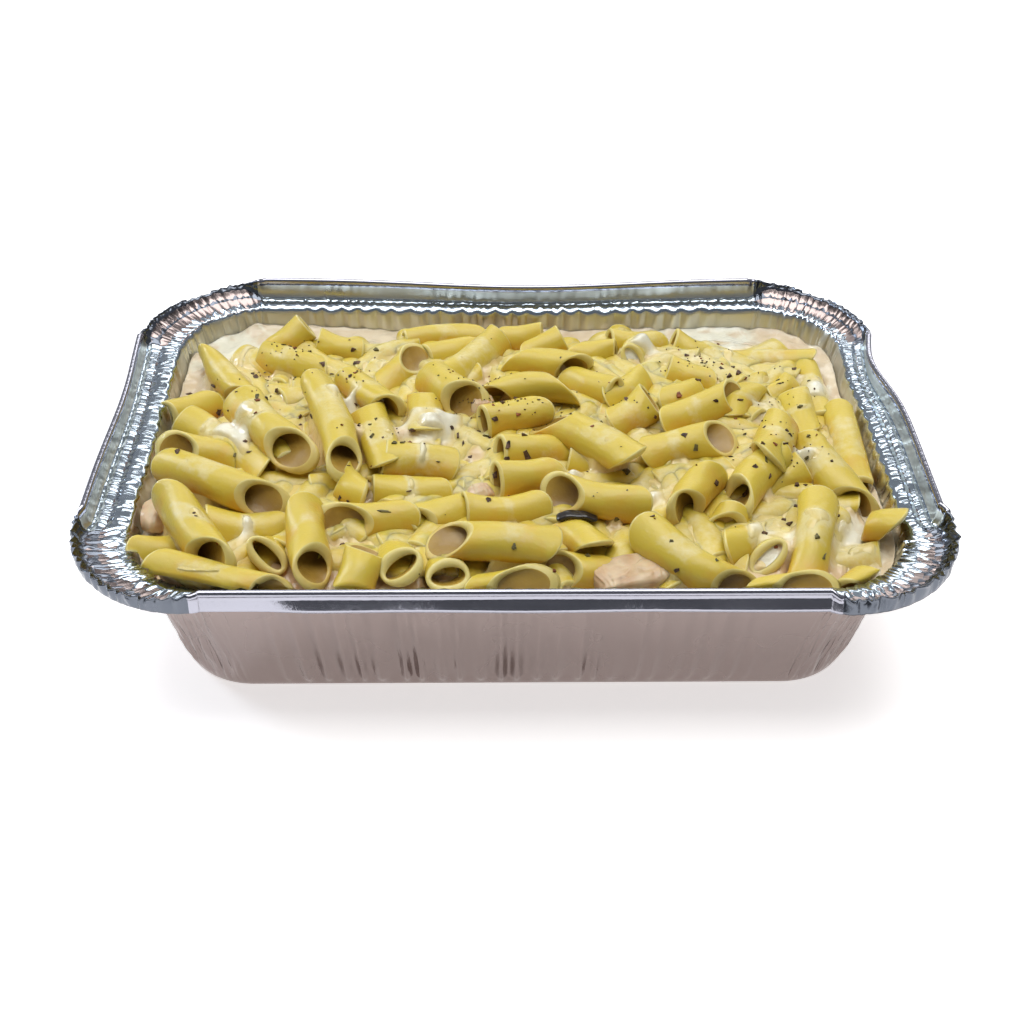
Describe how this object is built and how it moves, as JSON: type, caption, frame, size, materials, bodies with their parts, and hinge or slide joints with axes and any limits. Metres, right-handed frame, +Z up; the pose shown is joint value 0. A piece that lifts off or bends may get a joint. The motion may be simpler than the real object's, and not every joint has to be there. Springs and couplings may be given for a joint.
{
  "type": "foil tray meal",
  "caption": "Rectangular takeaway tray of pressed foil, filled with a heap of penne in cream sauce with bits of chicken, an olive slice and dried herbs.",
  "frame": {"origin": "middle of the flat underside of the tray, at the middle of the object's box", "axes": "+X along the long sides, +Y from the front long side to the back one, +Z up"},
  "size_m": [0.2248, 0.1568, 0.052],
  "materials": {
    "foil": "bright rolled foil, pressed into flutes and crimped",
    "sauce": "wet cream sauce",
    "penne": "boiled pasta, wet with sauce",
    "chicken": "cooked chicken, moist",
    "olive": "black olive, glossy",
    "herb": "dried herb flakes and ground pepper"
  },
  "bodies": {
    "root": {"foil_tray": "foil", "cream_sauce": "sauce", "penne_heap": "penne", "chicken_chunk_front": "chicken", "chicken_bit_middle": "chicken", "chicken_bit_centre": "chicken", "chicken_shred_left": "chicken", "chicken_bit_corner": "chicken", "olive_slice": "olive"}
  },
  "joints": []
}
